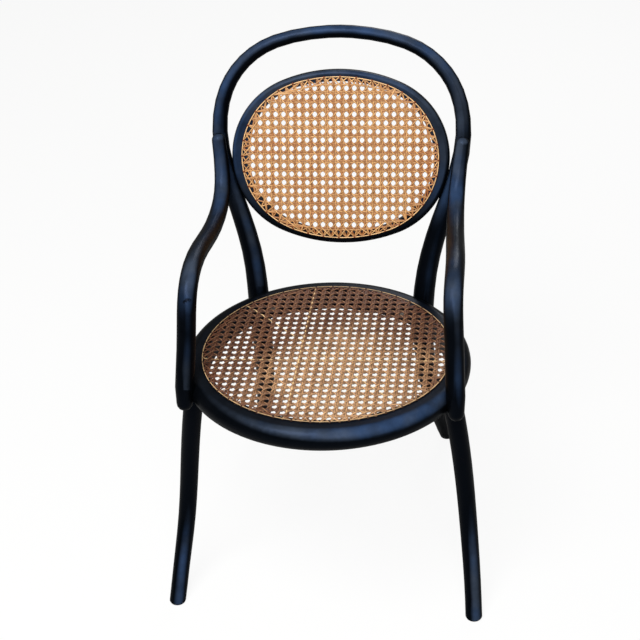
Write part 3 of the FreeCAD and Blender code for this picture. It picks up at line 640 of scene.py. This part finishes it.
def painted_highlight(tree, spot, cloud):
    """How much painted bluish highlight lies on the paint, from 0 to 1.

    It is painted on sides turned the first way high on the chair and on sides turned the
    second way anywhere, where they face the view, painted shade takes it away in crevices, and
    it comes in patches.
    """
    height = add(tree, "ShaderNodeSeparateXYZ", {0: spot}).outputs["Z"]
    # painted highlight: on sides turned the first way only above a height, on sides turned the
    # second way anywhere
    highlight_height = ranged(tree, height, 0.55, 0.65, last=0.9, smooth=True)
    wear_and_highlight = arithmetic(tree, "MULTIPLY", faced(tree, HIGHLIGHT_HIGH_SIDE, 0.3, 0.85), highlight_height)
    front_highlight = faced(tree, HIGHLIGHT_FRONT_SIDE, 0.72, 1.02)
    either = arithmetic(tree, "MAXIMUM", wear_and_highlight, front_highlight)
    # painted shade: the painted highlight fades where the surface is seen at a slant
    grazing = add(tree, "ShaderNodeLayerWeight", {"Blend": 0.5}).outputs["Facing"]
    open_side = ranged(tree, grazing, 0.25, 0.75, first=1.0, last=0.0, smooth=True)
    highlight_share = arithmetic(tree, "MULTIPLY", either, open_side)
    # painted shade: ambient occlusion takes the painted highlight away in crevices
    crevice_shade = add(tree, "ShaderNodeAmbientOcclusion", {"Distance": 0.012}, samples=4)
    clear = arithmetic(tree, "MULTIPLY", highlight_share, crevice_shade.outputs["AO"])
    uneven = ranged(tree, cloud, 0.35, 0.65, first=0.5, last=1.0)
    return arithmetic(tree, "MULTIPLY", clear, uneven)


def arm_knot(tree, spot, chips):
    """The cracked knot in the left arm, from 0 to 1, its shape broken up by the chips."""
    away = distance_from(tree, spot, ARM_SCAR, squeeze=(0.8, 0.8, 1.8))
    near = arithmetic(tree, "MULTIPLY_ADD", chips, 0.034, away)
    return ranged(tree, near, 0.0195, 0.0225, first=1.0, last=0.0)


def black_paint():
    """Black oil paint brushed on bent beech: satin, with a cool sheen and a painted bluish
    highlight in its colour.

    Soft brush waves and the pores of the wood are its relief, its gloss drifts, a few
    chips show brown wood, and the left arm has a knot.
    """
    material, tree, shader = new_material("brushed_black_paint")
    spot = add(tree, "ShaderNodeTexCoord").outputs["Object"]
    cloud = noise(tree, spot, size=0.055, detail=4.0, roughness=0.6)
    pores = noise(tree, spot, size=0.0022, detail=3.0, roughness=0.65)
    waves = noise(tree, spot, size=0.012)
    chips = noise(tree, spot, size=0.006, detail=5.0, roughness=0.7)
    drift = noise(tree, spot, size=0.12, detail=3.0, roughness=0.6)
    # colour of the painted highlight: a bluish reflection laid into the paint's colour
    highlight_colour = mixed(tree, ranged(tree, drift, 0.42, 0.58), "#283a56", "#353e4c")
    coat = mixed(tree, cloud, "#010203", "#040507")
    # the black coat takes the painted highlight where its mask says
    highlit_paint = mixed(tree, painted_highlight(tree, spot, cloud), coat, highlight_colour)
    chippy = mixed(tree, ranged(tree, chips, 0.775, 0.79), highlit_paint, "#4a3527")
    scar = arm_knot(tree, spot, chips)
    colour = mixed(tree, scar, chippy, "#010203")
    gloss = ranged(tree, cloud, 0.3, 0.7, first=0.27, last=0.38)
    fine = arithmetic(tree, "MULTIPLY_ADD", pores, 0.25, waves)
    relief = arithmetic(tree, "MULTIPLY_ADD", scar, -1.5, fine)
    dress_surface(tree, shader, colour, gloss, relief, strength=0.16, depth=0.0012)
    shader.inputs["Specular IOR Level"].default_value = 0.08
    shader.inputs["Specular Tint"].default_value = linear("#a9c6ff")
    return material


def cane_streaks(tree, read):
    """Noise drawn out along the strands and different on each of them."""
    length = arithmetic(tree, "MULTIPLY", read["along"], 1 / 0.018)
    width = arithmetic(tree, "MULTIPLY", read["across"], 3.2)
    apart = arithmetic(tree, "MULTIPLY", read["tone"], 91.0)
    stretched = add(tree, "ShaderNodeCombineXYZ", {"X": length, "Y": width, "Z": apart})
    return noise(tree, stretched.outputs[0], size=1.0, detail=4.0, roughness=0.6)


def sheet_age(tree, middle, reach):
    """From 0 round a middle to 1 about a reach away, both in millimetres, in patches."""
    spot = add(tree, "ShaderNodeTexCoord").outputs["Object"]
    patch = noise(tree, spot, size=0.07, detail=3.0, roughness=0.6)
    spread = arithmetic(tree, "MULTIPLY", distance_from(tree, spot, middle),
                        1 / (reach * MM))
    uneven = arithmetic(tree, "MULTIPLY_ADD", patch, 1.1, spread)
    return ranged(tree, uneven, 0.95, 1.6, smooth=True)


def cane_grime_and_shade(tree, read):
    """Grime and painted shade in the dips where strands cross and along their cut edges, from
    0 to 1.
    """
    # painted shade with grime: strands lying low under crossing strands turn darker
    dip = ranged(tree, read["lift"], -1.6, 0.9, first=0.85, last=0.0)
    # painted shade with grime: each strand darkens towards its cut edges
    edge = arithmetic(tree, "ABSOLUTE", read["across"])
    side = ranged(tree, edge, 0.12, 0.45, last=0.96)
    return arithmetic(tree, "MAXIMUM", dip, side)


def cane(name, dark, light, grime_and_shade, rim, wear_and_highlight, middle, reach):
    """Rattan cane: the smooth bark side of split rattan, fine streaks along each strand.

    Every strand has its own tone between dark and light, or above 1 where it is newer.
    worn tints a sheet round its middle and rim further out, less so on raised strands.
    """
    material, tree, shader = new_material(name)
    read = {
        key: add(tree, "ShaderNodeAttribute", attribute_name=key).outputs["Fac"]
        for key in ("tone", "along", "across", "lift")
    }
    streaks = cane_streaks(tree, read)
    clean = ranged(tree, read["lift"], 0.2, 1.8, first=1.0, last=0.72)
    older = arithmetic(tree, "MULTIPLY", sheet_age(tree, middle, reach), clean)
    own = mixed(tree, read["tone"], dark, light)
    tinted = multiplied(tree, own, mixed(tree, older, wear_and_highlight, rim))
    newer = ranged(tree, read["tone"], 1.0, 1.2, last=0.85)
    strand = mixed(tree, newer, tinted, NEW_CANE)
    # grime and painted shade laid over the strand's colour
    soiled_and_shaded = mixed(tree, cane_grime_and_shade(tree, read), strand, grime_and_shade)
    fleck = ranged(tree, streaks, 0.36, 0.64, first=0.55, last=1.25)
    shade = add(tree, "ShaderNodeCombineColor", {0: fleck, 1: fleck, 2: fleck})
    colour = multiplied(tree, soiled_and_shaded, shade.outputs[0])
    gloss = ranged(tree, streaks, 0.0, 1.0, first=0.32, last=0.55)
    dress_surface(tree, shader, colour, gloss, streaks, strength=0.35, depth=0.0002)
    shader.inputs["Specular IOR Level"].default_value = 0.3
    return material


def plain_steel():
    """Bare screw steel: turned, greyed by age, with brown spots of old rust."""
    material, tree, shader = new_material("aged_screw_steel")
    spot = add(tree, "ShaderNodeTexCoord").outputs["Object"]
    cloud = noise(tree, spot, size=0.003, detail=4.0)
    fine = noise(tree, spot, size=0.0006)
    colour = mixed(tree, ranged(tree, cloud, 0.55, 0.68), "#8f8d88", "#6a4a33")
    gloss = ranged(tree, cloud, 0.0, 1.0, first=0.3, last=0.6)
    dress_surface(tree, shader, colour, gloss, fine, strength=0.2, depth=0.0002)
    shader.inputs["Metallic"].default_value = 1.0
    return material


def tube(name, points, around):
    """Closed mesh through rings that all have the same number of points."""
    rings = len(points) // around
    faces = []
    for i in range(rings - 1):
        for j in range(around):
            a, b = i * around + j, i * around + (j + 1) % around
            faces.append((a, b, b + around, a + around))
    faces.append(tuple(reversed(range(around))))
    faces.append(tuple(range(len(points) - around, len(points))))
    mesh = bpy.data.meshes.new(name)
    mesh.from_pydata(points, [], faces)
    return outward(mesh)


def turned(profile):
    """Closed turned shape about the upright axis, from (radius, height) pairs."""
    points = []
    for radius, height in profile:
        for i in range(TURNED_SIDES):
            angle = 2 * math.pi * i / TURNED_SIDES
            points.append((radius * math.cos(angle) * MM, radius * math.sin(angle) * MM,
                           height * MM))
    return tube("turned_part", points, TURNED_SIDES)


def slotted(mesh, top, width, depth, reach):
    """Cut a screwdriver slot across the top of a turned head."""
    block = bpy.data.meshes.new("slot_block")
    work = bmesh.new()
    bmesh.ops.create_cube(work, size=1.0)
    size = Matrix.Diagonal((2 * reach * MM, width * MM, 2 * depth * MM, 1))
    bmesh.ops.transform(work, matrix=Matrix.Translation((0, 0, top * MM)) @ size,
                        verts=work.verts)
    work.to_mesh(block)
    work.free()
    head = new_object("head", mesh)
    cutter = new_object("slot", block)
    cut = head.modifiers.new("slot", "BOOLEAN")
    cut.object = cutter
    cut.operation = "DIFFERENCE"
    cut.solver = "EXACT"
    made = evaluated_mesh(head)
    for item in (head, cutter):
        bpy.data.objects.remove(item)
    return soften(made, STEEL_CREASE)


def wood_screw(length):
    """Countersunk slotted screw, its head's rim at height zero."""
    rim = SCREW_HEAD_RADIUS - PLAY
    neck = SCREW_RADIUS - PLAY
    profile = [(0.2, -length), (neck, -length + SCREW_POINT),
               (neck, -SCREW_HEAD_DEPTH - 0.1), (rim, -0.25), (rim, -0.05),
               (rim - 0.6, 0.0), (0.4, 0.0)]
    return slotted(turned(profile), 0, SLOT_WIDTH, SLOT_DEPTH, SCREW_HEAD_RADIUS + 1)


def head_bolt(length):
    """Threaded bolt with a low round slotted head that sits on height zero."""
    radius = BOLT_HEAD_RADIUS - PLAY
    height = BOLT_HEAD_HEIGHT
    crest = BOLT_RADIUS - PLAY
    root = BOLT_RADIUS - THREAD_DEPTH
    profile = [(0.5, -length), (root, -length), (crest, -length + BOLT_POINT)]
    for i in range(THREAD_TURNS):
        low = -length + BOLT_POINT + THREAD_PITCH * (i + 0.5)
        profile += [(root, low), (crest, low + THREAD_PITCH / 2)]
    profile += [(crest, 0.0), (radius, 0.0), (radius, 0.9), (radius - 0.7, 2.2),
                (radius - 2.2, height - 0.3), (radius - 4.4, height - 0.02),
                (0.4, height - 0.02)]
    return slotted(turned(profile), height, SLOT_WIDTH * 1.5, SLOT_DEPTH * 1.2, radius + 1)


def square_nut():
    """Square nut with worn corners, its inner face at height zero."""
    work = bmesh.new()
    bmesh.ops.create_cube(work, size=1.0)
    size = Matrix.Diagonal((NUT_WIDTH * MM, NUT_WIDTH * MM, NUT_THICKNESS * MM, 1))
    lift = Matrix.Translation((0, 0, NUT_THICKNESS / 2 * MM))
    bmesh.ops.transform(work, matrix=lift @ size, verts=work.verts)
    bmesh.ops.bevel(work, geom=work.edges[:], offset=NUT_WEAR * MM, segments=2,
                    profile=0.6, affect="EDGES")
    mesh = bpy.data.meshes.new("square_nut")
    work.to_mesh(mesh)
    work.free()
    return soften(outward(mesh), STEEL_CREASE)


def solids_of(frame, node):
    """Corner points of each separate solid in a CAD node, in metres."""
    work = bmesh.new()
    work.from_mesh(frame["nodes"][node].data)
    bmesh.ops.remove_doubles(work, verts=work.verts, dist=MERGE_DISTANCE)
    left = set(work.verts)
    found = []
    while left:
        group, border = set(), [left.pop()]
        while border:
            vertex = border.pop()
            group.add(vertex)
            for edge in vertex.link_edges:
                other = edge.other_vert(vertex)
                if other in left:
                    left.remove(other)
                    border.append(other)
        found.append(np.array(sorted(tuple(vertex.co) for vertex in group)))
    work.free()
    return found


def head_spots(frame, node):
    """Where the head of each screw or bolt ends, the way it faces and its slot's side."""
    spots = []
    for points in solids_of(frame, node):
        middle = points.mean(axis=0)
        axis = np.linalg.svd(points - middle, full_matrices=False)[2][0]
        along = (points - middle) @ axis
        out = np.linalg.norm(points - middle - np.outer(along, axis), axis=1)
        if along[out.argmax()] < 0:
            axis, along = -axis, -along
        facing = Vector(axis)
        side = facing.cross(Vector((0.4, 0.1, 0.9))).normalized()
        spots.append((Vector(middle) + facing * along.max(), facing, side))
    return spots


def nut_spots(frame, bolts):
    """Inner face of each nut, on the bolt that it belongs to."""
    spots = []
    for points in solids_of(frame, "hoop_nuts"):
        centre = Vector((points.min(axis=0) + points.max(axis=0)) / 2)
        head, facing, side = min(bolts, key=lambda bolt: (bolt[0] - centre).length)
        flat = Vector((0, 0, 1)).cross(facing).normalized()
        spots.append((centre + facing * NUT_THICKNESS / 2 * MM, -facing, flat))
    return spots


def fasteners(frame, tree, steel):
    """Slotted screws and bolts and square nuts, on the axes of the CAD ones."""
    for node, length in SCREW_LENGTHS.items():
        spots = head_spots(frame, node)
        screws = set_out("slotted_" + node, wood_screw(length), spots, tree, steel, sway=0.6)
        hand_over(screws, "steel", node)
    bolts = head_spots(frame, "hoop_bolts")
    sunk = [(place - facing * BOLT_HEAD_HEIGHT * MM, facing, side)
            for place, facing, side in bolts]
    made = set_out("slotted_hoop_bolts", head_bolt(BOLT_LENGTH), sunk, tree, steel, sway=0.5)
    hand_over(made, "steel", "hoop_bolts")
    nuts = nut_spots(frame, bolts)
    made = set_out("square_hoop_nuts", square_nut(), nuts, tree, steel)
    hand_over(made, "steel", "hoop_nuts")


def hand_over(item, slot, *nodes):
    """Attach a finished piece to the root body and hide the CAD nodes that it stands for; the
    slot is not used.
    """
    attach(item, "root")
    if nodes:
        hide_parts(*nodes)


def band(stations, width, thickness):
    """Small strip of cane through (distance, height) stations, crowned and closed."""
    section = ((-0.5, -0.5), (0.5, -0.5), (0.5, 0.1), (0.2, 0.5), (-0.2, 0.5), (-0.5, 0.1))
    points = []
    for i, (distance, height) in enumerate(stations):
        before = stations[max(i - 1, 0)]
        after = stations[min(i + 1, len(stations) - 1)]
        run = Vector((after[0] - before[0], after[1] - before[1])).normalized()
        for side, up in section:
            points.append((
                (distance - run.y * up * thickness) * MM,
                side * width * MM,
                (height + run.x * up * thickness) * MM,
            ))
    return tube("cane_band", points, len(section))


def outward(mesh):
    """Turn every face of a closed mesh outwards and shade it smooth."""
    work = bmesh.new()
    work.from_mesh(mesh)
    bmesh.ops.recalc_face_normals(work, faces=work.faces)
    work.to_mesh(mesh)
    work.free()
    mesh.shade_smooth()
    return mesh


def marked(mesh, tone, lift=1.0):
    """Give a cane mesh the attributes that its material reads. A low lift soils it."""
    for key, value in (("tone", tone), ("along", 0.0), ("across", 0.0), ("lift", lift)):
        layer = mesh.attributes.new(key, "FLOAT", "POINT")
        layer.data.foreach_set("value", [value] * len(mesh.vertices))
    return mesh


def set_out(name, shape, spots, tree, material, sway=0.0, placement=None, seed=1):
    """Copies of a shape at spots, each a place, the way it faces and its side."""
    mesh = bpy.data.meshes.new(name)
    mesh.from_pydata([place for place, facing, side in spots], [], [])
    for key, item in (("facing", 1), ("side", 2)):
        layer = mesh.attributes.new(key, "FLOAT_VECTOR", "POINT")
        values = [value for spot in spots for value in spot[item]]
        layer.data.foreach_set("vector", values)
    master = new_object(name + "_master", shape)
    values = {"Piece": master, "Material": material, "Seed": seed, "Sway": sway}
    item = grown(name, mesh, tree, values, placement)
    bpy.data.objects.remove(master)
    return item


def cane_lines(name, lines, section, sweep, material, placement, closed=False):
    """Cane swept along lines, with a section of a width, thickness, level and sides."""
    width, thickness, level, sides = section
    values = {
        "Width": width * MM, "Thickness": thickness * MM, "Level": level * MM,
        "Sides": sides, "Material": material,
    }
    item = grown(name, line_mesh(name, lines, closed), sweep, values, placement)
    soften(item.data, CANE_CREASE)
    return item


def tie_shape():
    """Short loop of cane across the binder strip, darkened by grime."""
    top = SHEET_THICKNESS + BINDER_THICKNESS + TIE_THICKNESS / 2
    half = BINDER_WIDTH / 2
    stations = [
        (-half - 0.7, 0.5), (-half - 0.55, 1.2), (-half - 0.1, top - 0.45),
        (-half + 0.7, top - 0.05), (half - 0.7, top - 0.05), (half + 0.1, top - 0.45),
        (half + 0.55, 1.2), (half + 0.7, 0.3),
    ]
    return marked(band(stations, TIE_WIDTH, TIE_THICKNESS), TIE_TONE, TIE_LIFT)


def loop_shape(spacing):
    """Cane that lies behind a ring, from one hole to the next."""
    half = spacing / 2
    stations = [
        (-half, -0.6), (-half + 0.5, 0.2), (-half + 1.4, 0.6), (0, 0.7), (half - 1.4, 0.6),
        (half - 0.5, 0.2), (half, -0.6),
    ]
    return marked(band(stations, PAIR_WIDTH, TIE_THICKNESS), LOOP_TONE)


def caning(label, weave, placement, below, slot, material, trees):
    """Woven sheet, binder strip, ties and the loops behind the ring."""
    sweep, copies = trees
    straight = weave.pairs(True) + weave.pairs(False)
    for part, width, lines in (("pairs", PAIR_WIDTH, straight),
                               ("diagonals", SLANT_WIDTH, weave.slanting())):
        section = (width * weave.gauge, STRAND_THICKNESS * weave.gauge, WEAVE_LEVEL,
                   STRAND_SIDES)
        sheet = cane_lines("%s_cane_%s" % (label, part), lines, section, sweep, material,
                           placement)
        hand_over(sheet, slot, label + "_cane")

    round_rim = [(point.x, point.y, 0.0) for point, out in weave.edge.spread(BINDER_POINTS)]
    section = (BINDER_WIDTH, BINDER_THICKNESS, SHEET_THICKNESS + BINDER_THICKNESS / 2,
               BINDER_SIDES)
    strip = cane_lines(label + "_binder_strip", [(round_rim, BINDER_TONE)], section, sweep,
                       material, placement, closed=True)
    hand_over(strip, slot, label + "_cane_binder")

    up = Vector((0, 0, 1))
    spots = [(place * MM, up, out) for place, out in weave.holes[::2]]
    ties = set_out(label + "_tie_loops", tie_shape(), spots, copies, material, sway=0.09,
                   placement=placement, seed=4)
    hand_over(ties, slot, label + "_cane_ties")

    shape = loop_shape(weave.edge.length() / len(weave.holes))
    between = weave.edge.spread(2 * len(weave.holes))[1::2]
    spots = [(place * MM, -up, up.cross(out)) for place, out in between]
    loops = set_out(label + "_loops_behind", shape, spots, copies, material, sway=0.05,
                    placement=below, seed=6)
    hand_over(loops, slot)


def camera_share(tree, share):
    """How much of a plain white look a surface has, and only straight from the camera."""
    rays = add(tree, "ShaderNodeLightPath")
    clear = arithmetic(tree, "MAXIMUM", rays.outputs["Is Camera Ray"],
                       rays.outputs["Is Transmission Ray"])
    return arithmetic(tree, "MULTIPLY", clear, share)


def two_looks(tree, usual, seen, share, output_kind):
    """Show one shader to the light and, by a share, another straight to the camera."""
    either = add(tree, "ShaderNodeMixShader", {0: camera_share(tree, share)})
    tree.links.new(usual.outputs[0], either.inputs[1])
    tree.links.new(seen.outputs[0], either.inputs[2])
    output = add(tree, output_kind)
    tree.links.new(either.outputs[0], output.inputs["Surface"])


def backdrop():
    """White world with a weak fill of light, and a pale floor."""
    white = linear("#ffffff")
    world = bpy.data.worlds.new("studio")
    bpy.context.scene.world = world
    world.use_nodes = True
    tree = world.node_tree
    tree.nodes.clear()
    fill = add(tree, "ShaderNodeBackground", {"Color": white, "Strength": 0.2})
    plain = add(tree, "ShaderNodeBackground", {"Color": white, "Strength": 1.0})
    two_looks(tree, fill, plain, 1.0, "ShaderNodeOutputWorld")

    mesh = bpy.data.meshes.new("studio_floor")
    reach = FLOOR_REACH
    mesh.from_pydata([(-reach, -reach, 0), (reach, -reach, 0), (reach, reach, 0),
                      (-reach, reach, 0)], [], [(0, 1, 2, 3)])
    floor = new_object("studio_floor", mesh)
    material = bpy.data.materials.new("pale_floor")
    material.use_nodes = True
    tree = material.node_tree
    tree.nodes.clear()
    matt = add(tree, "ShaderNodeBsdfDiffuse", {"Color": linear("#9a9a98")})
    bright = add(tree, "ShaderNodeEmission", {"Color": white, "Strength": 1.13})
    two_looks(tree, matt, bright, 0.8, "ShaderNodeOutputMaterial")
    mesh.materials.append(material)


def lamps():
    """Soft round lamps above and before the chair, and a weak one behind it."""
    for name, place, size, power in LAMPS:
        lamp = bpy.data.lights.new("studio_" + name, "AREA")
        lamp.shape = "DISK"
        lamp.size = size
        lamp.energy = power
        holder = new_object("studio_" + name, lamp)
        holder.location = place
        aim = Vector(LAMP_TARGET) - Vector(place)
        holder.rotation_euler = aim.to_track_quat("-Z", "Y").to_euler()


def camera():
    """Camera where the photograph was taken from."""
    view = bpy.data.cameras.new("photograph")
    view.lens = CAMERA_LENS
    view.sensor_width = SENSOR_WIDTH
    view.clip_end = 50
    eye = new_object("photograph", view)
    axes = [Vector(CAMERA_RIGHT), -Vector(CAMERA_DOWN), -Vector(CAMERA_AHEAD)]
    turn = Matrix([axis.normalized() for axis in axes]).transposed()
    eye.matrix_world = Matrix.Translation(Vector(CAMERA_PLACE) * MM) @ turn.to_4x4()
    bpy.context.scene.camera = eye
    bpy.context.scene.view_settings.view_transform = "Standard"


def main():
    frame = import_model()
    backdrop()
    lamps()
    camera()
    paint = black_paint()
    golden = cane("golden_rattan", dark="#ab7444", light="#f2c286", grime_and_shade="#662806",
                  rim="#e6d6c6", wear_and_highlight="#fcfff8", middle=PANEL_CENTRE, reach=260)
    brown = cane("browned_rattan", dark="#94704f", light="#f6cf9e", grime_and_shade="#301a0f",
                 rim="#82615a", wear_and_highlight="#fff2e8", middle=(45, -150, SEAT_HEIGHT), reach=190)
    for node in ("back_hoop", "back_panel_ring", "seat_ring", "front_leg_left",
                 "front_leg_right", "arm_left", "arm_right"):
        hand_over(rod_copy(frame, node, paint), "black_paint", node)
    trees = (sweep_tree(), copies_tree())
    seat = Weave(SEAT_CANE, hole_pitch=15.9, origin=(3.73, -94.99), pitch=(15.86, 16.4),
                 skew=0.0452, gauge=1.27, seed=3, pale={(-3, -1), (1, 0)},
                 pale_slants={(-1, 0)})
    caning("seat", seat, seat_frame(), seat_frame(SEAT_HEIGHT - RING_THICKNESS),
           "brown_cane", brown, trees)
    back = Weave(PANEL_CANE, hole_pitch=14.8, origin=(5.19, 9.42), pitch=(14.44, 15.74),
                 skew=0.0131, gauge=1.06, seed=5)
    caning("back", back, panel_frame(), panel_frame(-PANEL_DEPTH),
           "golden_cane", golden, trees)
    fasteners(frame, trees[1], plain_steel())


main()
